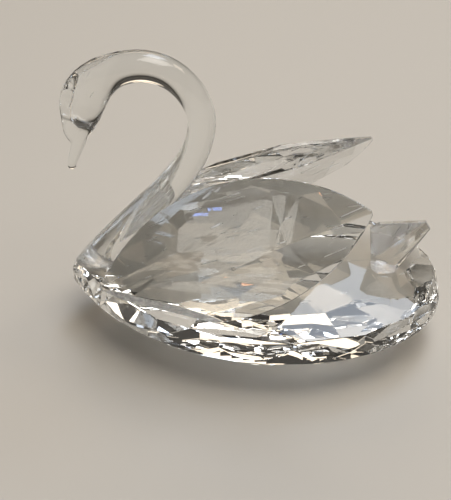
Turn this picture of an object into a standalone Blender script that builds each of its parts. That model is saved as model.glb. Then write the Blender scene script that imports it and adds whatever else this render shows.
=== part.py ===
"""Swan figurine of clear cut crystal, bonded from five pieces.

The swan faces -X, +Z is up and the XZ plane is its plane of symmetry.
The body stands on its ground flat at z = 0. All lengths are in metres.
"""
import bpy
import bmesh
import numpy as np
from math import acos, cos, pi, radians, sin, sqrt, tan
from mathutils import Matrix, Vector

MM = 0.001

# Body: pear outline with its point at the breast.
BODY_LENGTH = 66.5 * MM
BODY_WIDTH = 41.0 * MM
REAR_LENGTH = 30.0 * MM         # from the widest section to the rear end
BASE_INSET = 15.5 * MM          # how far the ground flat stays inside the outline
CULET_HEIGHT = 3.1 * MM         # where the flat lower facets meet the steep ones
CULET_INSET = 5.4 * MM
GIRDLE_LOW = 7.9 * MM           # underside of the widest band
GIRDLE_TOP = 8.7 * MM
SHOULDER_HEIGHT = 12.3 * MM     # where the steep side facets end
PAVILION_EDGE_SLOPE = radians(49)
SIDE_SLOPE = radians(76)
CROWN_LOW_SLOPE = radians(13)
CROWN_SLOPE = radians(6.5)
BREAST_SLOPE = radians(5)

# Wings: pointed oval plates leaning against the back.
WING_HALF_LENGTH = 25.7 * MM
WING_HALF_WIDTH = 11.6 * MM
WING_BACK = 6.65 * MM           # wing middle ahead of the widest section
WING_INSET = 10.7 * MM          # wing middle inside the widest line
WING_HEIGHT = 11.3 * MM         # wing middle above the shoulder
WING_YAW = radians(-2.9)
WING_PITCH = radians(24.0)
WING_LEAN = radians(34.8)
WING_RIDGE = 3.4 * MM           # outer ridge above the middle plane
WING_TABLE = 2.1 * MM           # inner table below the middle plane
WING_EDGE = 0.35 * MM           # half thickness of the rim

# Neck rod, arch, head and beak.
NECK_RADIUS = 2.85 * MM
NECK_SIDES = 28
NECK_RINGS = 84
HEAD_THICKNESS = 5.4 * MM
EYE_RADIUS = 1.5 * MM
EYE_DEPTH = 0.55 * MM

# Tail wedge.
TAIL_FOOT_BACK = 11.4 * MM      # foot ahead of the rear end of the body
TAIL_TIP_BACK = 2.8 * MM
TAIL_FOOT_WIDTH = 5.6 * MM
TAIL_HEIGHT = 12.3 * MM         # top edge above the shoulder
TAIL_RIDGE_WIDTH = 0.7 * MM

BOND = 0.3 * MM                 # clearance at every bonded joint

HALF_LENGTH = BODY_LENGTH / 2
HALF_WIDTH = BODY_WIDTH / 2
WIDEST_X = HALF_LENGTH - REAR_LENGTH
FRONT_LENGTH = BODY_LENGTH - REAR_LENGTH
FRONT_RADIUS = (FRONT_LENGTH ** 2 + HALF_WIDTH ** 2) / (2 * HALF_WIDTH)
FRONT_TURN = acos((FRONT_RADIUS - HALF_WIDTH) / FRONT_RADIUS)

for old in list(bpy.data.objects):
    bpy.data.objects.remove(old, do_unlink=True)

swan = bpy.data.collections.new("swan_figurine")
bpy.context.scene.collection.children.link(swan)


def crystal(name, tint):
    """Clear lead crystal."""
    mat = bpy.data.materials.new(name)
    mat.use_nodes = True
    shader = mat.node_tree.nodes["Principled BSDF"]
    shader.inputs["Base Color"].default_value = (*tint, 1.0)
    shader.inputs["Roughness"].default_value = 0.02
    shader.inputs["IOR"].default_value = 1.545
    shader.inputs["Transmission Weight"].default_value = 1.0
    return mat


def add_object(name, bm, mat):
    """Hand a finished bmesh over as one named object."""
    bmesh.ops.recalc_face_normals(bm, faces=bm.faces)
    mesh = bpy.data.meshes.new(name)
    bm.to_mesh(mesh)
    bm.free()
    mesh.materials.append(mat)
    obj = bpy.data.objects.new(name, mesh)
    swan.objects.link(obj)
    return obj


def prism(outline, low, high):
    """Straight prism over a plan outline."""
    bm = bmesh.new()
    face = bm.faces.new([bm.verts.new((x, y, low)) for x, y in outline])
    grown = bmesh.ops.extrude_face_region(bm, geom=[face])
    top = [v for v in grown["geom"] if isinstance(v, bmesh.types.BMVert)]
    bmesh.ops.translate(bm, verts=top, vec=(0, 0, high - low))
    bmesh.ops.recalc_face_normals(bm, faces=bm.faces)
    return bm


def grind(bm, point, normal):
    """Grind one flat facet: take off all that lies beyond the plane."""
    geom = bm.verts[:] + bm.edges[:] + bm.faces[:]
    cut = bmesh.ops.bisect_plane(
        bm, geom=geom, dist=2e-6, plane_co=point, plane_no=normal, clear_outer=True)
    rim = [e for e in cut["geom_cut"] if isinstance(e, bmesh.types.BMEdge)]
    rim = [e for e in rim if e.is_boundary]
    if rim:
        bmesh.ops.edgeloop_fill(bm, edges=rim)
        bmesh.ops.recalc_face_normals(bm, faces=bm.faces)


def facet_normal(azimuth, slope):
    """Outward normal of a facet falling away toward an azimuth."""
    return Vector((sin(slope) * cos(azimuth), sin(slope) * sin(azimuth), cos(slope)))


def pear_point(azimuth):
    """Point of the body outline whose outward normal has this azimuth."""
    side = -1.0 if sin(azimuth) < 0 else 1.0
    c = cos(azimuth)
    s = abs(sin(azimuth))
    if c >= 0:
        reach = sqrt((REAR_LENGTH * c) ** 2 + (HALF_WIDTH * s) ** 2)
        x = WIDEST_X + REAR_LENGTH ** 2 * c / reach
        y = HALF_WIDTH ** 2 * s / reach
    else:
        turn = min(acos(s), FRONT_TURN)
        x = WIDEST_X - FRONT_RADIUS * sin(turn)
        y = FRONT_RADIUS * cos(turn) - (FRONT_RADIUS - HALF_WIDTH)
    return Vector((x, side * max(y, 0.0), 0.0))


def pear_outline(steps):
    """Body outline, point by point from the breast round to the breast."""
    front = [pi / 2 + FRONT_TURN * (1 - i / steps) for i in range(steps)]
    rear = [pi / 2 * (1 - i / steps) for i in range(steps + 1)]
    half = [pear_point(a) for a in front + rear]
    near = [(p.x, -p.y) for p in half]
    far = [(p.x, p.y) for p in half[-2:0:-1]]
    return near + far


# Body: one block ground with facets below and above the girdle. The flat facets
# round the ground flat throw the light back up through the crown.
body = prism(pear_outline(22), 0.0, SHOULDER_HEIGHT + 8 * MM)
for deg in (0, 24, 46, 66, 84, 101, 117, 132, 146):
    for side in ((1,) if deg == 0 else (1, -1)):
        azimuth = radians(side * deg)
        drop = GIRDLE_LOW - CULET_HEIGHT
        down = Vector((cos(azimuth) * drop, sin(azimuth) * drop, -CULET_INSET))
        start = pear_point(azimuth)
        start.z = GIRDLE_LOW
        grind(body, start, down.normalized())
for deg in (11, 34, 57, 79, 101, 124, 150):
    for side in (1, -1):
        azimuth = radians(side * deg)
        run = BASE_INSET - CULET_INSET
        down = Vector((cos(azimuth) * CULET_HEIGHT, sin(azimuth) * CULET_HEIGHT, -run))
        start = pear_point(azimuth)
        start -= Vector((cos(azimuth), sin(azimuth), 0)) * CULET_INSET
        start.z = CULET_HEIGHT
        grind(body, start, down.normalized())
for deg in (12, 35, 56, 75, 93, 109, 125, 139):
    for side in (1, -1):
        azimuth = radians(side * deg)
        down = Vector((cos(azimuth), sin(azimuth), -1 / tan(PAVILION_EDGE_SLOPE)))
        start = pear_point(azimuth)
        start.z = GIRDLE_LOW
        grind(body, start, down.normalized())
for deg in (0, 17, 36, 55, 75, 93, 109, 125, 141):
    for side in ((1,) if deg == 0 else (1, -1)):
        azimuth = radians(side * deg)
        start = pear_point(azimuth)
        start.z = GIRDLE_TOP
        grind(body, start, facet_normal(azimuth, SIDE_SLOPE))
shoulder_inset = (SHOULDER_HEIGHT - GIRDLE_TOP) / tan(SIDE_SLOPE)
for deg in (0, 27, 46, 65, 84, 101):
    for side in ((1,) if deg == 0 else (1, -1)):
        azimuth = radians(side * deg)
        start = pear_point(azimuth)
        start -= Vector((cos(azimuth), sin(azimuth), 0)) * shoulder_inset
        start.z = SHOULDER_HEIGHT
        grind(body, start, facet_normal(azimuth, CROWN_LOW_SLOPE))
# The broad crown facets, each through a corner of the ring around the tail.
crown_side = Vector((HALF_LENGTH - 11.45 * MM, 2.1 * MM, SHOULDER_HEIGHT + 1.93 * MM))
crown_mid = Vector((WIDEST_X + 8.85 * MM, 5.0 * MM, SHOULDER_HEIGHT + 2.13 * MM))
for start, deg, slope in ((crown_side, 22.7, 9.1), (crown_side, 65.7, 8.5), (crown_mid, 74.3, 9.25)):
    for side in (1, -1):
        spot = Vector((start.x, side * start.y, start.z))
        grind(body, spot, facet_normal(radians(side * deg), radians(slope)))

# The facets under the wings and under the neck carry the bonded pieces.
WING_SEAT_AZIMUTH = radians(-108)
seat_point = pear_point(WING_SEAT_AZIMUTH)
seat_point -= Vector((cos(WING_SEAT_AZIMUTH), sin(WING_SEAT_AZIMUTH), 0)) * shoulder_inset
seat_point.z = SHOULDER_HEIGHT
seat_normal = facet_normal(WING_SEAT_AZIMUTH, CROWN_SLOPE)
mirror = Vector((1, -1, 1))
grind(body, seat_point, seat_normal)
grind(body, seat_point * mirror, seat_normal * mirror)
breast_point = Vector((-HALF_LENGTH + 1.2 * MM, 0, SHOULDER_HEIGHT - 0.2 * MM))
breast_normal = facet_normal(pi, BREAST_SLOPE)
grind(body, breast_point, breast_normal)
tail_point = Vector((HALF_LENGTH - 4.6 * MM, 0, SHOULDER_HEIGHT + 1.15 * MM))
tail_normal = facet_normal(0, CROWN_SLOPE)
grind(body, tail_point, tail_normal)
bmesh.ops.remove_doubles(body, verts=body.verts, dist=0.00002)
add_object("body", body, crystal("body_crystal", (0.97, 0.98, 0.97)))


def pointed_oval(steps):
    """Outline of two equal arcs meeting in points at both ends."""
    radius = (WING_HALF_LENGTH ** 2 + WING_HALF_WIDTH ** 2) / (2 * WING_HALF_WIDTH)
    turn = acos((radius - WING_HALF_WIDTH) / radius)
    top = []
    for i in range(steps):
        a = turn * (1 - 2 * i / steps)
        top.append((radius * sin(a), radius * cos(a) - (radius - WING_HALF_WIDTH)))
    return top + [(-x, -y) for x, y in top]


def oval_point(azimuth):
    """Point of the wing outline whose outward normal has this azimuth."""
    radius = (WING_HALF_LENGTH ** 2 + WING_HALF_WIDTH ** 2) / (2 * WING_HALF_WIDTH)
    side = -1.0 if sin(azimuth) < 0 else 1.0
    x = radius * cos(azimuth)
    y = radius * abs(sin(azimuth)) - (radius - WING_HALF_WIDTH)
    return Vector((x, side * y, 0))


def through(p, q, r):
    """Plane through three points with its normal turned upward."""
    normal = (q - p).cross(r - p).normalized()
    if normal.z < 0:
        normal = -normal
    return p, normal


def facet_corner(along, up, height):
    """Corner of the ground facets, as shares of the wing's own sizes."""
    return Vector((along * WING_HALF_LENGTH, up * WING_HALF_WIDTH,
                   WING_EDGE + height * (WING_RIDGE - WING_EDGE)))


def rim_point(deg):
    """Point on the outer arris of the rim."""
    p = oval_point(radians(deg))
    p.z = WING_EDGE
    return p


def wing_plate():
    """Wing in its own frame: x along the wing, y up the wing, z outward."""
    bm = prism(pointed_oval(28), -3 * MM, 4 * MM)
    front_tip = Vector((-WING_HALF_LENGTH, 0, WING_EDGE))
    rear_tip = Vector((WING_HALF_LENGTH, 0, WING_EDGE))
    fore = facet_corner(-0.335, 0.19, 1.0)
    aft = facet_corner(0.412, -0.13, 1.0)
    crest = facet_corner(-0.04, -0.276, 0.92)
    brow = facet_corner(-0.59, -0.293, 0.54)
    shin = facet_corner(-0.20, -0.336, 0.775)
    belly = facet_corner(0.023, -0.63, 0.525)
    heel = facet_corner(0.272, -0.526, 0.594)
    top = Vector((0, WING_HALF_WIDTH, WING_EDGE + 0.5 * MM))
    for facet in (
            (fore, aft, top), (aft, rear_tip, rim_point(66)), (fore, front_tip, rim_point(112)),
            (fore, aft, crest), (fore, crest, brow), (aft, crest, belly),
            (fore, front_tip, brow), (aft, rear_tip, rim_point(-65)),
            (belly, heel, rim_point(-95)), (crest, belly, rim_point(-105)),
            (aft, heel, rim_point(-76)), (shin, rim_point(-105), rim_point(-119))):
        grind(bm, *through(*facet))
    for deg in (58, 80, 100, 122):
        azimuth = radians(deg)
        start = oval_point(azimuth)
        start.z = WING_EDGE
        grind(bm, start, facet_normal(azimuth, radians(24)))
    grind(bm, Vector((0, 0, -WING_TABLE)), Vector((0, 0, -1)))
    for deg in (46, 68, 90, 112, 134):
        for side in (1, -1):
            azimuth = radians(side * deg)
            start = oval_point(azimuth)
            start.z = -WING_EDGE
            normal = facet_normal(azimuth, radians(21))
            normal.z = -normal.z
            grind(bm, start, normal)
    for deg in (12, 78, 102, 168, -38, -90, -142):
        azimuth = radians(deg)
        start = Vector((cos(azimuth) * 0.35 * WING_HALF_LENGTH,
                        sin(azimuth) * 0.22 * WING_HALF_WIDTH, -WING_TABLE))
        normal = facet_normal(azimuth, radians(7))
        normal.z = -normal.z
        grind(bm, start, normal)
    return bm


# Wings: the plate is laid on its side of the back and its foot is ground to
# the crown facet it is bonded to.
long_axis = Vector((cos(WING_YAW) * cos(WING_PITCH), sin(WING_YAW) * cos(WING_PITCH),
                    sin(WING_PITCH)))
level = Vector((-sin(WING_YAW), cos(WING_YAW), 0))
rise = long_axis.cross(level) * cos(WING_LEAN) + level * sin(WING_LEAN)
outward = long_axis.cross(rise)
turn = Matrix((long_axis, rise, outward)).transposed().to_4x4()
wing_centre = Vector((WIDEST_X - WING_BACK, WING_INSET - HALF_WIDTH,
                      SHOULDER_HEIGHT + WING_HEIGHT))
place = Matrix.Translation(wing_centre) @ turn
wing = wing_plate()
bmesh.ops.transform(wing, matrix=place, verts=wing.verts)
grind(wing, seat_point + seat_normal * BOND, -seat_normal)
bmesh.ops.remove_doubles(wing, verts=wing.verts, dist=0.00002)
other = wing.copy()
bmesh.ops.scale(other, vec=(1, -1, 1), verts=other.verts)
add_object("left_wing", wing, crystal("left_wing_crystal", (0.97, 0.97, 0.96)))
add_object("right_wing", other, crystal("right_wing_crystal", (0.97, 0.97, 0.96)))

# Tail: a thin wedge standing on a small foot behind the wings.
foot = TAIL_FOOT_WIDTH / 2
ridge = TAIL_RIDGE_WIDTH / 2
foot_x = HALF_LENGTH - TAIL_FOOT_BACK
tip_x = HALF_LENGTH - TAIL_TIP_BACK
top_z = SHOULDER_HEIGHT + TAIL_HEIGHT
tail = bmesh.new()
corners = []
for side in (1, -1):
    for level_z in (SHOULDER_HEIGHT - 2 * MM, SHOULDER_HEIGHT + 2.9 * MM):
        corners.append((foot_x, side * foot, level_z))
        corners.append((foot_x - 0.9 * MM, side * (foot - 0.8 * MM), level_z))
        corners.append((foot_x + 0.6 * MM, side * (foot - 0.5 * MM), level_z))
    corners.append((foot_x - 0.2 * MM, side * ridge, top_z - 0.8 * MM))
    corners.append((tip_x - 0.9 * MM, side * ridge, top_z))
    corners.append((tip_x, side * ridge, top_z - 1.5 * MM))
    corners.append((foot_x - 1.8 * MM, side * ridge, top_z - 2.0 * MM))
for corner in corners:
    tail.verts.new(corner)
hull = bmesh.ops.convex_hull(tail, input=tail.verts)
loose = [v for v in hull["geom_interior"] if isinstance(v, bmesh.types.BMVert)]
if loose:
    bmesh.ops.delete(tail, geom=loose, context="VERTS")
grind(tail, tail_point + tail_normal * BOND, -tail_normal)
bmesh.ops.dissolve_limit(tail, angle_limit=radians(0.5), verts=tail.verts, edges=tail.edges)
add_object("tail", tail, crystal("tail_crystal", (0.97, 0.98, 0.98)))

# Neck, head and beak: one hot formed rod. Each station gives how far the middle
# of the section lies behind the point of the breast and above the shoulder,
# half its depth in the plane of symmetry and half its thickness across it.
cheek = HEAD_THICKNESS / MM / 2
rod = NECK_RADIUS / MM
stations = [
    (1.9, -3.4, rod * 1.01, rod * 1.01),
    (4.2, -0.2, rod * 1.01, rod * 1.01),
    (7.6, 4.3, rod, rod),
    (13.1, 11.0, rod * 0.96, rod * 0.96),
    (17.9, 16.6, rod * 0.94, rod * 0.94),
    (21.9, 22.8, rod * 0.87, rod * 0.88),
    (23.6, 27.4, rod * 0.83, rod * 0.85),
    (23.9, 32.0, rod * 0.84, rod * 0.86),
    (22.2, 36.4, rod * 0.87, rod * 0.88),
    (18.9, 39.8, rod * 0.90, rod * 0.90),
    (14.6, 41.1, rod * 0.95, rod * 0.94),
    (9.9, 40.2, rod * 1.02, rod * 0.99),
    (6.2, 37.6, 3.65, cheek),
    (4.2, 34.4, 3.92, cheek * 1.03),
    (3.6, 31.8, 3.58, cheek),
    (3.0, 29.3, 2.88, cheek * 0.86),
    (2.6, 27.6, 2.25, cheek * 0.69),
    (2.8, 26.2, 1.50, cheek * 0.52),
    (2.6, 24.7, 1.12, cheek * 0.44),
    (1.9, 22.8, 0.93, cheek * 0.38),
    (1.4, 20.9, 0.76, cheek * 0.32),
]
EYE_BACK = 2.3 * MM
EYE_HEIGHT = 33.3 * MM


def smooth_path(knots, count):
    """Centripetal spline through the knots, sampled evenly along its length."""
    pts = np.array(knots, float)
    ends = [2 * pts[0] - pts[1], 2 * pts[-1] - pts[-2]]
    pts = np.vstack([ends[0], pts, ends[1]])
    out = []
    for i in range(1, len(pts) - 2):
        p0, p1, p2, p3 = pts[i - 1:i + 3]
        t0 = 0.0
        t1 = t0 + np.linalg.norm(p1[:2] - p0[:2]) ** 0.5
        t2 = t1 + np.linalg.norm(p2[:2] - p1[:2]) ** 0.5
        t3 = t2 + np.linalg.norm(p3[:2] - p2[:2]) ** 0.5
        for t in np.linspace(t1, t2, 30, endpoint=False):
            a1 = (t1 - t) / (t1 - t0) * p0 + (t - t0) / (t1 - t0) * p1
            a2 = (t2 - t) / (t2 - t1) * p1 + (t - t1) / (t2 - t1) * p2
            a3 = (t3 - t) / (t3 - t2) * p2 + (t - t2) / (t3 - t2) * p3
            b1 = (t2 - t) / (t2 - t0) * a1 + (t - t0) / (t2 - t0) * a2
            b2 = (t3 - t) / (t3 - t1) * a2 + (t - t1) / (t3 - t1) * a3
            out.append((t2 - t) / (t2 - t1) * b1 + (t - t1) / (t2 - t1) * b2)
    out = np.array(out + [pts[-2]])
    length = np.r_[0, np.cumsum(np.linalg.norm(np.diff(out[:, :2], axis=0), axis=1))]
    even = np.linspace(0, length[-1], count)
    return np.stack([np.interp(even, length, out[:, k]) for k in range(4)], axis=1)


path = smooth_path(stations, NECK_RINGS) * MM
path[:, 0] -= HALF_LENGTH
path[:, 1] += SHOULDER_HEIGHT
eye_x = EYE_BACK - HALF_LENGTH
eye_z = EYE_HEIGHT + SHOULDER_HEIGHT
neck = bmesh.new()
rings = []
beak_end = path[-1, :2]
for i, (x, z, deep, thick) in enumerate(path):
    ahead = path[min(i + 1, len(path) - 1), :2] - path[max(i - 1, 0), :2]
    ahead = ahead / np.linalg.norm(ahead)
    across = Vector((-ahead[1], 0, ahead[0]))
    flat = min(max((deep / thick - 1.05) / 0.4, 0), 1)
    power = 2 + 0.7 * flat
    ring = []
    for k in range(NECK_SIDES):
        a = 2 * pi * k / NECK_SIDES
        c = cos(a)
        s = sin(a)
        grow = (abs(c) ** power + abs(s) ** power) ** (-1 / power)
        p = Vector((x, 0, z)) + across * (deep * c * grow) + Vector((0, thick * s * grow, 0))
        gap = sqrt((p.x - eye_x) ** 2 + (p.z - eye_z) ** 2)
        if abs(p.y) > 0.3 * MM:
            dent = EYE_DEPTH * np.exp(-(gap / EYE_RADIUS) ** 2 * 1.6)
            p.y -= dent * (1 if p.y > 0 else -1)
        ring.append(neck.verts.new(p))
    rings.append(ring)
for low, high in zip(rings, rings[1:]):
    for k in range(NECK_SIDES):
        n = (k + 1) % NECK_SIDES
        neck.faces.new((low[k], low[n], high[n], high[k]))
neck.faces.new(rings[0][::-1])
tip_dir = Vector((path[-1, 0] - path[-3, 0], 0, path[-1, 1] - path[-3, 1])).normalized()
tip_centre = Vector((beak_end[0], 0, beak_end[1]))
last = rings[-1]
for step in (0.45, 0.8):
    squeeze = sqrt(1 - step ** 2)
    nxt = []
    for v in rings[-1]:
        side = v.co - tip_centre
        nxt.append(neck.verts.new(tip_centre + side * squeeze + tip_dir * step * 0.75 * MM))
    for k in range(NECK_SIDES):
        n = (k + 1) % NECK_SIDES
        neck.faces.new((last[k], last[n], nxt[n], nxt[k]))
    last = nxt
end = neck.verts.new(tip_centre + tip_dir * 0.75 * MM)
for k in range(NECK_SIDES):
    neck.faces.new((last[k], last[(k + 1) % NECK_SIDES], end))
grind(neck, breast_point + breast_normal * BOND, -breast_normal)
for face in neck.faces:
    face.smooth = len(face.verts) < 8
add_object("neck", neck, crystal("neck_crystal", (0.97, 0.98, 0.97)))
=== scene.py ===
"""Swan figurine of clear cut crystal, dressed for its photograph.

It follows the swan as it is bonded together: body, wings, tail, neck, and then
the table and the studio it stands in. The swan faces -X, +Z is up, and the XZ
plane is its plane of symmetry. Lengths are in metres, written as so many MM,
except where a comment gives another unit.
"""
from math import cos, pi, radians, sin, tan

import bmesh
import bpy
import numpy as np
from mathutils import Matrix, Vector


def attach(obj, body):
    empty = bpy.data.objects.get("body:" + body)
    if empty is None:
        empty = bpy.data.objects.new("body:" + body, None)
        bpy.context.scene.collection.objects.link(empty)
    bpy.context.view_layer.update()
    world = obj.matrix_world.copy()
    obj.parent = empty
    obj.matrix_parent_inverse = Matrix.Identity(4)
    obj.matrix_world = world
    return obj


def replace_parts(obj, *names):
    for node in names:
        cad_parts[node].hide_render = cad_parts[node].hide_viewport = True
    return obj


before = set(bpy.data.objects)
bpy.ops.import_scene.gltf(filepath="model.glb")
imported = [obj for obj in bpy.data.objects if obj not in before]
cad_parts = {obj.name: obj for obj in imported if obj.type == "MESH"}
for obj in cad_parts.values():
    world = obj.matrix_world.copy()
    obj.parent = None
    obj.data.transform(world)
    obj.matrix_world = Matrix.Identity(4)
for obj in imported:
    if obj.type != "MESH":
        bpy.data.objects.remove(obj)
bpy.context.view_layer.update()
MM = 0.001

# ---- Body -----------------------------------------------------------------
# One pear shaped block of full lead crystal, sawn, ground with flat facets on
# an iron wheel and polished with cork. It stands on a small ground flat, and
# the wings, the tail and the neck are bonded onto its upper facets.
LEAD_CRYSTAL_IOR = 1.545
POLISH_WAVE = 0.0008 * MM       # height of the waviness that cork leaves
HAIR_PITCH = 2.3 * MM           # from one scratch to the next beside it
WORN_PATCH = 3.2 * MM           # size of the patches that scratches lie in
DUST_CELL = 1.7 * MM            # a cell holds one speck of dust or none
ARRIS_WIDTH = 0.13 * MM         # the polisher takes the knife edge off each arris
LEAST_TURN = radians(5)         # edges that turn less belong to a rounded outline
TIP_GROUND = 0.4 * MM           # a free point is blunted, so that it doesn't chip
SAME_CORNER = 0.004 * MM        # corners of the CAD mesh closer than this are one
SAME_FACET = radians(0.4)       # triangles that turn less than this are one facet
ON_PLANE = 1e-7                 # m, how near a plane counts as on it
SAME_WAY = 0.99999              # cosine above which two normals are one


def linear(code):
    """sRGB hex colour as linear numbers: c/12.92 below 0.04045, else ((c+0.055)/1.055)^2.4."""
    rgb = [int(code[i:i + 2], 16) / 255 for i in (1, 3, 5)]
    return (*[c / 12.92 if c <= 0.04045 else ((c + 0.055) / 1.055) ** 2.4 for c in rgb], 1.0)


def node(tree, kind, inputs=None, **settings):
    """Add one node. settings are its own properties; inputs gives a number, a colour or
    another node's output for a socket, by name or by place."""
    new = tree.nodes.new(kind)
    for name, value in settings.items():
        setattr(new, name, value)
    for name, value in (inputs or {}).items():
        if isinstance(value, bpy.types.NodeSocket):
            tree.links.new(value, new.inputs[name])
        else:
            new.inputs[name].default_value = value
    return new


def facing(azimuth_deg, slope_deg):
    """Outward normal of a facet that falls away toward an azimuth at a slope. The azimuth
    is counted from +X toward +Y, and a slope of 0 is level."""
    a, s = radians(azimuth_deg), radians(slope_deg)
    return Vector((sin(s) * cos(a), sin(s) * sin(a), cos(s)))


def lead_crystal(name, tint, wave_mm, hair_turn, hair_share, dust_share):
    """Full lead crystal, ground flat and cork polished: colourless and mirror smooth, so
    the eye gets sharp facets full of refracted light and dark. Over that lie the faint
    waviness that cork leaves, hairline scratches from years of dusting, a few mm long,
    and specks of dust and lint on what faces up. Real ones, 0.01 and 0.05 mm wide, wouldn't
    show at this size, so scratches are drawn about 0.1 mm wide and specks about 0.2 mm.
    hair_share spreads the scratched patches, and dust_share of the cells hold a speck."""
    mat = bpy.data.materials.new(name)
    mat.use_nodes = True
    tree = mat.node_tree
    shader = tree.nodes["Principled BSDF"]
    shader.inputs["Base Color"].default_value = linear(tint)
    shader.inputs["IOR"].default_value = LEAD_CRYSTAL_IOR
    place = node(tree, "ShaderNodeTexCoord")
    wave = node(tree, "ShaderNodeTexNoise", {
        "Vector": place.outputs["Object"], "Scale": 1 / (wave_mm * MM), "Detail": 1.0})
    bump = node(tree, "ShaderNodeBump", {
        "Height": wave.outputs["Fac"], "Distance": POLISH_WAVE, "Strength": 1.0})
    tree.links.new(bump.outputs["Normal"], shader.inputs["Normal"])

    # Hairlines: the crests of a wave of straight bands, bowed a little and seen in patches.
    # The texture's own wave has 20 radians to the unit.
    laid = node(tree, "ShaderNodeMapping", {
        "Vector": place.outputs["Object"], "Rotation": hair_turn})
    band = node(tree, "ShaderNodeTexWave", {
        "Vector": laid.outputs["Vector"], "Scale": 2 * pi / (20 * HAIR_PITCH), "Distortion": 0.8,
        "Detail": 0.0, "Detail Scale": 0.12}, bands_direction="Z")
    hair = node(tree, "ShaderNodeMapRange", {
        "Value": band.outputs["Fac"], "From Min": 0.985, "From Max": 0.998})
    worn = node(tree, "ShaderNodeTexNoise", {
        "Vector": place.outputs["Object"], "Scale": 1 / WORN_PATCH, "Detail": 0.0})
    patch = node(tree, "ShaderNodeMapRange", {
        "Value": worn.outputs["Fac"], "From Min": 0.78 - 0.25 * hair_share,
        "From Max": 0.86 - 0.25 * hair_share})
    scratch = node(tree, "ShaderNodeMath", {
        0: hair.outputs["Result"], 1: patch.outputs["Result"]}, operation="MULTIPLY")

    # Dust: a dot about 0.06 of a cell in radius, in some cells, where the surface faces up.
    cell = node(tree, "ShaderNodeTexVoronoi", {
        "Vector": place.outputs["Object"], "Scale": 1 / DUST_CELL})
    dot = node(tree, "ShaderNodeMapRange", {
        "Value": cell.outputs["Distance"], "From Min": 0.075, "From Max": 0.045})
    pick = node(tree, "ShaderNodeSeparateXYZ", {"Vector": cell.outputs["Color"]})
    chosen = node(tree, "ShaderNodeMath", {
        0: pick.outputs["X"], 1: dust_share}, operation="LESS_THAN")
    surface = node(tree, "ShaderNodeNewGeometry")
    tilt = node(tree, "ShaderNodeSeparateXYZ", {"Vector": surface.outputs["Normal"]})
    level = node(tree, "ShaderNodeMapRange", {
        "Value": tilt.outputs["Z"], "From Min": 0.15, "From Max": 0.4})
    speck = node(tree, "ShaderNodeMath", {
        0: dot.outputs["Result"], 1: chosen.outputs["Value"]}, operation="MULTIPLY")
    dust = node(tree, "ShaderNodeMath", {
        0: speck.outputs["Value"], 1: level.outputs["Result"]}, operation="MULTIPLY")

    # Under a scratch or a speck the surface is rough and lets through less light.
    mark = node(tree, "ShaderNodeMath", {
        0: scratch.outputs["Value"], 1: dust.outputs["Value"]}, operation="MAXIMUM")
    rough = node(tree, "ShaderNodeMapRange", {"Value": mark.outputs["Value"], "To Max": 0.4})
    clear = node(tree, "ShaderNodeMapRange", {
        "Value": mark.outputs["Value"], "To Min": 1.0, "To Max": 0.55})
    tree.links.new(rough.outputs["Result"], shader.inputs["Roughness"])
    tree.links.new(clear.outputs["Result"], shader.inputs["Transmission Weight"])
    return mat


def piece(name, mesh, slot, *materials):
    """Put a finished mesh into the scene as one named piece of the swan."""
    for mat in materials:
        mesh.materials.append(mat)
    obj = bpy.data.objects.new(name, mesh)
    bpy.context.scene.collection.objects.link(obj)
    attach(obj, "root")
    return obj


def cut_gem(name, source, slot, foot_down, tip_out, *materials):
    """The CAD gem with its loose triangles merged back into whole facets and each arris
    broken. Between facets whose normals m and n turn by t, the cut has the normal
    (m + n) / |m + n| and lies (width / 2) * tan(t / 2) inside the edge. The end that
    points along tip_out, if one is given, is ground back by TIP_GROUND. The facet whose
    normal is foot_down, if one is given, is the foot, and takes the second material."""
    gem = bmesh.new()
    gem.from_mesh(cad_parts[source].data)
    bmesh.ops.remove_doubles(gem, verts=gem.verts, dist=SAME_CORNER)
    bmesh.ops.dissolve_limit(gem, angle_limit=SAME_FACET, verts=gem.verts, edges=gem.edges)
    gem.normal_update()
    cuts = []
    for edge in gem.edges:
        m, n = (face.normal for face in edge.link_faces)
        turn = m.angle(n)
        if turn > LEAST_TURN:
            middle = (edge.verts[0].co + edge.verts[1].co) / 2
            normal = (m + n).normalized()
            cuts.append((middle - normal * ARRIS_WIDTH / 2 * tan(turn / 2), normal))
    if tip_out is not None:
        tip = max((vert.co for vert in gem.verts), key=tip_out.dot)
        cuts.append((tip - tip_out * TIP_GROUND, tip_out))
    for point, normal in cuts:
        geom = gem.verts[:] + gem.edges[:] + gem.faces[:]
        cut = bmesh.ops.bisect_plane(
            gem, geom=geom, dist=ON_PLANE, plane_co=point, plane_no=normal, clear_outer=True)
        rim = [e for e in cut["geom_cut"] if isinstance(e, bmesh.types.BMEdge) and e.is_boundary]
        if rim:
            bmesh.ops.edgeloop_fill(gem, edges=rim)
    bmesh.ops.recalc_face_normals(gem, faces=gem.faces)
    gem.normal_update()
    for face in gem.faces:
        face.smooth = False
        if foot_down is not None and face.normal.dot(foot_down) > SAME_WAY:
            face.material_index = 1
    mesh = bpy.data.meshes.new(name)
    gem.to_mesh(mesh)
    gem.free()
    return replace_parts(piece(name, mesh, slot, *materials), source)


BODY_CRYSTAL = lead_crystal("lead_crystal_body", "#fbfcfb", 5.0, (0.2, 0.1, 0.5), 0.35, 0.10)
cut_gem("body_block", "body", "cut_crystal_body", None, None, BODY_CRYSTAL)

# ---- Wings ----------------------------------------------------------------
# Two pointed oval plates of the same crystal, ground with a low ridge on the
# outside and a flat table inside. The foot of each is ground to a crown facet
# of the body and bonded there with a clear acrylic that sets a little milky.
WING_SEAT = facing(-108, 6.5)
WING_TIP_OUT = facing(-2.9, 66)     # the plate's long axis rises 24 degrees to the rear
WING_CRYSTAL = lead_crystal("lead_crystal_wing", "#fafbfb", 4.0, (0.0, 0.42, 0.12), 0.6, 0.32)

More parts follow.
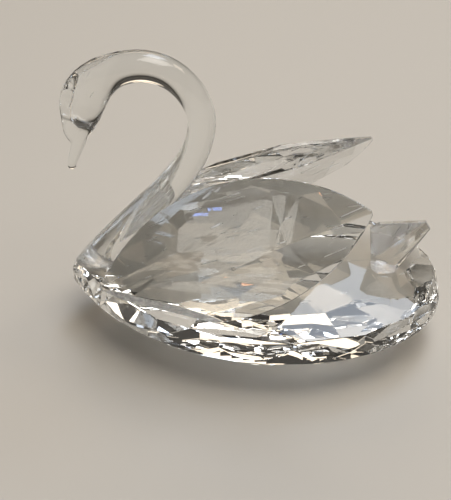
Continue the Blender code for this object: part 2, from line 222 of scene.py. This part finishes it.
# Ground crystal under set acrylic: the eye gets a soft, cloudy patch at each foot,
# where the clear piece would otherwise end in a hard dark edge.
ACRYLIC_IOR = 1.49
CLOUD = 0.9 * MM                    # size of the milky clouds in the acrylic
BONDED_FOOT = bpy.data.materials.new("ground_crystal_and_acrylic")
BONDED_FOOT.use_nodes = True
foot_tree = BONDED_FOOT.node_tree
foot_shader = foot_tree.nodes["Principled BSDF"]
foot_shader.inputs["Base Color"].default_value = linear("#f1eee6")
foot_shader.inputs["IOR"].default_value = ACRYLIC_IOR
foot_place = node(foot_tree, "ShaderNodeTexCoord")
foot_cloud = node(foot_tree, "ShaderNodeTexNoise", {
    "Vector": foot_place.outputs["Object"], "Scale": 1 / CLOUD, "Detail": 3.0})
foot_clear = node(foot_tree, "ShaderNodeMapRange", {
    "Value": foot_cloud.outputs["Fac"], "From Min": 0.35, "From Max": 0.65,
    "To Min": 0.25, "To Max": 0.75})
foot_rough = node(foot_tree, "ShaderNodeMapRange", {
    "Value": foot_cloud.outputs["Fac"], "From Min": 0.35, "From Max": 0.65,
    "To Min": 0.6, "To Max": 0.35})
foot_tree.links.new(foot_clear.outputs["Result"], foot_shader.inputs["Transmission Weight"])
foot_tree.links.new(foot_rough.outputs["Result"], foot_shader.inputs["Roughness"])

MIRROR_Y = Vector((1, -1, 1))
cut_gem("left_wing_plate", "left_wing", "cut_crystal_left_wing", -WING_SEAT,
        WING_TIP_OUT, WING_CRYSTAL, BONDED_FOOT)
cut_gem("right_wing_plate", "right_wing", "cut_crystal_right_wing", -WING_SEAT * MIRROR_Y,
        WING_TIP_OUT * MIRROR_Y, WING_CRYSTAL, BONDED_FOOT)

# ---- Tail -----------------------------------------------------------------
# A thin wedge of the same crystal, cut with flat faces all round and bonded by
# its narrow end on the rear facet, so that it fans up behind the wings.
TAIL_SEAT = facing(0, 6.5)
TAIL_CRYSTAL = lead_crystal("lead_crystal_tail", "#fafbfc", 4.0, (0.1, 0.9, 0.2), 0.4, 0.15)
cut_gem("tail_wedge", "tail", "cut_crystal_tail", -TAIL_SEAT, None, TAIL_CRYSTAL, BONDED_FOOT)

# ---- Neck, head and beak --------------------------------------------------
# One rod of crystal, drawn and bent hot over a former, with a fire polished
# skin. Pliers pinched both cheeks and drew the beak out to a bead, and the
# foot is ground off at a slant and bonded on the breast facet.
BREAST_TIP = -33.25             # mm, foremost point of the body
SHOULDER = 12.3                 # mm, where the crown facets start
NECK_SEAT = facing(180, 5)
SEAT_BACK = 1.2                 # mm, from the breast tip back to a point of that facet
SEAT_DROP = 0.2                 # mm, from the shoulder down to the same point
BOND = 0.3                      # mm of adhesive between the foot and the facet
ROD = 2.85                      # mm, half the rod
CHEEK = 2.7                     # mm, half the head across
# Each row: mm behind the breast tip, mm above the shoulder, half the depth in
# the plane of symmetry and half the thickness across it.
STATIONS = np.array([
    (1.9, -3.4, ROD * 1.01, ROD * 1.01), (4.2, -0.2, ROD * 1.01, ROD * 1.01),
    (7.6, 4.3, ROD, ROD), (13.1, 11.0, ROD * 0.96, ROD * 0.96),
    (17.9, 16.6, ROD * 0.94, ROD * 0.94), (21.9, 22.8, ROD * 0.87, ROD * 0.88),
    (23.6, 27.4, ROD * 0.83, ROD * 0.85), (23.9, 32.0, ROD * 0.84, ROD * 0.86),
    (22.2, 36.4, ROD * 0.87, ROD * 0.88), (18.9, 39.8, ROD * 0.90, ROD * 0.90),
    (14.6, 41.1, ROD * 0.95, ROD * 0.94), (9.9, 40.2, ROD * 1.02, ROD * 0.99),
    (6.2, 37.6, 3.65, CHEEK), (4.2, 34.4, 3.92, CHEEK * 1.03), (3.6, 31.9, 3.58, CHEEK),
    (3.35, 30.7, 3.30, CHEEK * 0.82), (3.05, 29.5, 2.93, CHEEK * 0.52),
    (2.6, 27.6, 2.25, CHEEK * 0.42), (2.8, 26.2, 1.50, CHEEK * 0.42),
    (2.6, 24.7, 1.12, CHEEK * 0.42),
    (1.9, 22.8, 0.93, CHEEK * 0.38), (1.4, 20.9, 0.76, CHEEK * 0.32)])
RINGS = 340                     # along the whole line, with the part ground away
FOOT_RINGS = 60.0               # the ground slant crosses the line below this ring
SKIN_RINGS = 320                # of the rod above the slant
SIDES = 96
TIP_RINGS = 14
TIP_LENGTH = 0.75               # mm, how far the bead of the beak rounds off
KNOT_STEPS = 120                # points of the spline from one station to the next
EVEN_OUT = 1.6                  # mm to each side over which the bent rod evens out
# The line where the pliers' mark ends: mm above the shoulder, mm behind the tip.
BROW = np.array([(28.5, 4.0), (30.0, 3.3), (31.2, 2.9), (32.6, 2.9), (34.0, 3.2), (36.0, 3.8),
                 (37.5, 4.3), (39.4, 4.9), (41.0, 5.6), (43.0, 6.6)])
MARK_DEPTH = 0.24               # share of the half thickness that the pliers took
MARK_STEP = 0.8                 # mm, how wide the step at that line is
MARK_FOOT = (28.6, 2.0)         # the mark starts this high and is whole so much above
MARK_HEAD = (43.5, 3.0)         # it ends this high and is whole so much below
# Where the tips of the pliers sat: mm behind the tip, mm above the shoulder, reach
# back and up, and the share of the half thickness that each took.
HOLLOWS = ((2.6, 36.6, 1.1, 1.5, 0.20), (1.9, 33.4, 0.9, 1.0, 0.22))


def drawn_rod(knots, count):
    """Centripetal spline through the knots, whose knot values go up by the square root of
    each chord, as count points at even steps of its length. They are then averaged under
    a raised cosine that reaches EVEN_OUT to each side."""
    pts = np.vstack([2 * knots[:1] - knots[1:2], knots, 2 * knots[-1:] - knots[-2:-1]])
    t = np.r_[0, np.cumsum(np.linalg.norm(np.diff(pts[:, :2], axis=0), axis=1) ** 0.5)]
    spans = len(knots) - 1
    p0, p1, p2, p3 = (pts[k:k + spans, None] for k in range(4))
    t0, t1, t2, t3 = (t[k:k + spans, None, None] for k in range(4))
    u = t1 + (t2 - t1) * np.linspace(0, 1, KNOT_STEPS, endpoint=False)[None, :, None]
    a1 = ((t1 - u) * p0 + (u - t0) * p1) / (t1 - t0)
    a2 = ((t2 - u) * p1 + (u - t1) * p2) / (t2 - t1)
    a3 = ((t3 - u) * p2 + (u - t2) * p3) / (t3 - t2)
    b1 = ((t2 - u) * a1 + (u - t0) * a2) / (t2 - t0)
    b2 = ((t3 - u) * a2 + (u - t1) * a3) / (t3 - t1)
    line = np.vstack([(((t2 - u) * b1 + (u - t1) * b2) / (t2 - t1)).reshape(-1, 4), knots[-1:]])
    length = np.r_[0, np.cumsum(np.linalg.norm(np.diff(line[:, :2], axis=0), axis=1))]
    even = np.linspace(0, length[-1], count)
    line = np.stack([np.interp(even, length, column) for column in line.T], axis=1)
    reach = int(EVEN_OUT * count / length[-1])
    weight = np.hanning(2 * reach + 3)[1:-1]
    weight /= weight.sum()
    ends = [2 * line[:1] - line[reach:0:-1], line, 2 * line[-1:] - line[-2:-reach - 2:-1]]
    padded = np.vstack(ends)
    return np.stack([np.convolve(column, weight, "valid") for column in padded.T], axis=1)


def ease(x):
    """Smooth step: 0 below 0, 1 above 1, x^2 (3 - 2x) between."""
    x = np.clip(x, 0, 1)
    return x * x * (3 - 2 * x)


rod_line = drawn_rod(STATIONS, RINGS)
rod_line[:, 0] += BREAST_TIP
rod_line[:, 1] += SHOULDER
heading = np.gradient(rod_line[:, :2], axis=0)
heading /= np.linalg.norm(heading, axis=1, keepdims=True)
rod_line = np.hstack([rod_line, heading])
ring_number = np.arange(RINGS)


def rod_skin(ring, turn):
    """Points of the rod's skin in mm, at ring number ring and turn round the section. The
    section is |u / deep|^p + |v / thick|^p = 1, with p from 2 on the round rod to 2.7 where
    the head is flattened. The cheeks are pinched in front of the brow line: y is scaled by
    1 less a share of a smooth step across it, and less a hollow exp(-r^2) for each plier
    tip."""
    x, z, deep, thick, ahead_x, ahead_z = (
        np.interp(ring, ring_number, column) for column in rod_line.T)
    power = 2 + 0.7 * np.clip((deep / thick - 1.05) / 0.4, 0, 1)
    c, s = np.cos(turn), np.sin(turn)
    grow = (np.abs(c) ** power + np.abs(s) ** power) ** (-1 / power)
    px = x - ahead_z * deep * c * grow
    pz = z + ahead_x * deep * c * grow
    back, up = px - BREAST_TIP, pz - SHOULDER
    brow = np.interp(up, *BROW.T)
    (foot, rise), (head, fall) = MARK_FOOT, MARK_HEAD
    mark = ease((brow - back) / MARK_STEP) * ease((up - foot) / rise) * ease((head - up) / fall)
    left = 1 - MARK_DEPTH * mark
    for at_back, at_up, reach_back, reach_up, depth in HOLLOWS:
        r2 = ((back - at_back) / reach_back) ** 2 + ((up - at_up) / reach_up) ** 2
        left = left - depth * np.exp(-r2)
    return np.stack([px, thick * s * grow * left, pz], axis=-1)


# The foot: each lengthwise line starts where it meets the ground slant, one bond
# off the breast facet, found by halving, and the rings even out above it.
turns = 2 * pi * np.arange(SIDES) / SIDES
seat_up = np.array(NECK_SEAT)
seat_point = np.array([BREAST_TIP + SEAT_BACK, 0, SHOULDER - SEAT_DROP]) + BOND * seat_up
low, high = np.zeros(SIDES), np.full(SIDES, FOOT_RINGS)
for _ in range(30):
    middle = (low + high) / 2
    under = (rod_skin(middle, turns) - seat_point) @ seat_up < 0
    low, high = np.where(under, middle, low), np.where(under, high, middle)
share = np.linspace(0, 1, SKIN_RINGS)[:, None]
skin = rod_skin(share * (RINGS - 1) + high * (1 - share) ** 3, turns)

# The beak ends in a bead: rings shrink as cos(a) while they go out as sin(a).
tip_centre = np.array([rod_line[-1, 0], 0, rod_line[-1, 1]])
tip_ahead = np.array([rod_line[-1, 4], 0, rod_line[-1, 5]]) * TIP_LENGTH
a = np.linspace(0, pi / 2, TIP_RINGS + 1)[1:-1, None, None]
bead = tip_centre + (skin[-1] - tip_centre) * np.cos(a) + tip_ahead * np.sin(a)
grid = np.concatenate([skin, bead]) * MM
rows = len(grid)
corner = np.arange(rows * SIDES).reshape(rows, SIDES)
beside = np.roll(corner, -1, axis=1)
quads = np.stack([corner[:-1], beside[:-1], beside[1:], corner[1:]], axis=-1).reshape(-1, 4)
pole = rows * SIDES
fan = np.stack([corner[-1], beside[-1], np.full(SIDES, pole)], axis=-1)
points = np.vstack([grid.reshape(-1, 3), (tip_centre + tip_ahead) * MM])
foot_face = corner[0][::-1].tolist()
neck_mesh = bpy.data.meshes.new("neck_rod")
neck_mesh.from_pydata(points.tolist(), [], [*quads.tolist(), *fan.tolist(), foot_face])
neck_mesh.validate()
shape = bmesh.new()
shape.from_mesh(neck_mesh)
bmesh.ops.recalc_face_normals(shape, faces=shape.faces)
for face in shape.faces:
    face.smooth = len(face.verts) < 5   # all but the foot, which is one flat face
    face.material_index = 0 if face.smooth else 1
shape.to_mesh(neck_mesh)
shape.free()
NECK_CRYSTAL = lead_crystal("lead_crystal_fire_polished", "#fbfcfb", 6.0, (0, 1.0, 0), 0.0, 0.12)
neck = piece("neck_rod", neck_mesh, "drawn_crystal_neck", NECK_CRYSTAL, BONDED_FOOT)
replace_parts(neck, "neck")

# ---- Table and studio -----------------------------------------------------
# A board painted a plain pale grey, under large lamps in a dim room. It is one
# colour within the camera's view; from 0.2 m out it darkens, a painted falloff of
# light round the swan, because crystal only shows its edges where it has
# something dark to bend in.
TABLE_HALF = 3.0                # m
TABLE_DROP = 0.04 * MM          # keeps the board clear of the body's ground flat
PAINT_ROUGHNESS = 0.6
# The second stop is painted shade, where the light would fall off away from the swan.
PALE, PAINTED_FALLOFF = (0.20, "#c6c1b8"), (0.60, "#57524a")       # m from the swan, paint

table = bpy.data.meshes.new("table")
table.from_pydata([(x * TABLE_HALF, y * TABLE_HALF, -TABLE_DROP)
                   for x, y in ((-1, -1), (1, -1), (1, 1), (-1, 1))], [], [(0, 1, 2, 3)])
floor = bpy.data.objects.new("table", table)
bpy.context.scene.collection.objects.link(floor)
paint = bpy.data.materials.new("board_with_painted_falloff")
paint.use_nodes = True
paint_tree = paint.node_tree
paint_shader = paint_tree.nodes["Principled BSDF"]
paint_place = node(paint_tree, "ShaderNodeTexCoord")
paint_reach = node(paint_tree, "ShaderNodeVectorMath", {
    0: paint_place.outputs["Object"]}, operation="LENGTH")
# Painted falloff of light: plain pale paint out to 0.2 m, then painted shade that deepens to 0.6
# m.
painted_falloff_ramp = node(paint_tree, "ShaderNodeValToRGB", {"Fac": paint_reach.outputs["Value"]})
for stop, (reach, colour) in zip(painted_falloff_ramp.color_ramp.elements, (PALE, PAINTED_FALLOFF)):
    stop.position, stop.color = reach, linear(colour)
paint_tree.links.new(painted_falloff_ramp.outputs["Color"], paint_shader.inputs["Base Color"])
paint_shader.inputs["Roughness"].default_value = PAINT_ROUGHNESS
table.materials.append(paint)

# The dim room, by the sine of the angle above the horizon: warm walls that get
# a little light from the table, and a ceiling that is darkest from 30 degrees up.
WALL_FOOT, CEILING = (0.0, "#4c4841"), (0.5, "#2a2826")
WALLS = (0.05, "#46423c"), (0.15, "#43403c")
world = bpy.data.worlds.new("studio")
bpy.context.scene.world = world
world.use_nodes = True
sky = world.node_tree
background = sky.nodes["Background"]
look = node(sky, "ShaderNodeTexCoord")
skyward = node(sky, "ShaderNodeSeparateXYZ", {"Vector": look.outputs["Generated"]})
room_tone = node(sky, "ShaderNodeValToRGB", {"Fac": skyward.outputs["Z"]})
for stop, (height, colour) in zip(room_tone.color_ramp.elements, (WALL_FOOT, CEILING)):
    stop.position, stop.color = height, linear(colour)
for height, colour in WALLS:
    room_tone.color_ramp.elements.new(height).color = linear(colour)
sky.links.new(room_tone.outputs["Color"], background.inputs["Color"])
background.inputs["Strength"].default_value = 1.0

LAMP_DISTANCE = 1.1             # m, from the middle of the swan
LAMP_GRID = radians(80)         # the whole angle that a honeycomb grid lets out
SWAN_MIDDLE = Vector((0, 0, 0.02))


def softbox(name, azimuth_deg, elevation_deg, width, height, watts, colour):
    """Rectangular lamp with a honeycomb grid, turned toward the middle of the swan. Width
    and height are in metres, and the azimuth is counted from +X toward +Y."""
    away = facing(azimuth_deg, 90 - elevation_deg)
    data = bpy.data.lights.new(name, "AREA")
    data.shape = "RECTANGLE"
    data.size = width
    data.size_y = height
    data.energy = watts
    data.spread = LAMP_GRID
    data.color = linear(colour)[:3]
    lamp = bpy.data.objects.new(name, data)
    lamp.location = SWAN_MIDDLE + LAMP_DISTANCE * away
    lamp.rotation_euler = away.to_track_quat("Z", "Y").to_euler()
    bpy.context.scene.collection.objects.link(lamp)


# Behind the swan stand two wide warm lamps and a cool one higher up, which shine
# through the crystal toward the camera. One more stands beyond the tail, and the
# big one overhead gives most of the light on the table.
softbox("rear", 95, 40, 0.80, 0.32, 0.32, "#ffebd2")
softbox("rear_low", 100, 23, 1.20, 0.22, 0.28, "#ffeed6")
softbox("rear_right", 66, 62, 0.42, 0.50, 0.75, "#e4efff")
softbox("right", 22, 43, 0.42, 0.30, 0.30, "#fff0dc")
softbox("top", -25, 74, 0.90, 0.70, 2.0, "#fffaf4")
# Prism edges: crystal splits the edge of a bright lamp into blue and orange, and
# the renderer doesn't, so two thin strips lie along the rear lamp.
softbox("rear_blue_edge", 95, 49.0, 0.12, 0.003, 0.0024, "#7fa4ff")
softbox("rear_orange_edge", 95, 31.0, 0.20, 0.004, 0.0048, "#ffab66")

# The camera looks down at the swan's left side from a little toward its tail. From
# there a millimetre of the swan fills 5.6 of the photograph's 500 rows.
CAMERA_AZIMUTH = radians(4.5)
CAMERA_ELEVATION = radians(38)
CAMERA_DISTANCE = 260 * MM
TARGET = Vector((-5.3, 0, 16.1)) * MM
SENSOR = 24.0                   # mm along the picture's longer side
FOCAL_ROWS = 1456               # focal length, in rows of the picture
PICTURE_ROWS = 500
lens = bpy.data.cameras.new("camera")
lens.sensor_width = SENSOR
lens.lens = SENSOR * FOCAL_ROWS / PICTURE_ROWS
lens.clip_start = 10 * MM
lens.clip_end = 20
camera = bpy.data.objects.new("camera", lens)
back = Vector((sin(CAMERA_AZIMUTH) * cos(CAMERA_ELEVATION),
               -cos(CAMERA_AZIMUTH) * cos(CAMERA_ELEVATION), sin(CAMERA_ELEVATION)))
camera.location = TARGET + back * CAMERA_DISTANCE
camera.rotation_euler = back.to_track_quat("Z", "Y").to_euler()
bpy.context.scene.collection.objects.link(camera)
bpy.context.scene.camera = camera

# Light crosses many facets inside the crystal, so its paths may be long.
MOST_BOUNCES = 32
paths = bpy.context.scene.cycles
paths.max_bounces = MOST_BOUNCES
paths.glossy_bounces = MOST_BOUNCES
paths.transmission_bounces = MOST_BOUNCES
bpy.context.scene.view_settings.view_transform = "Standard"
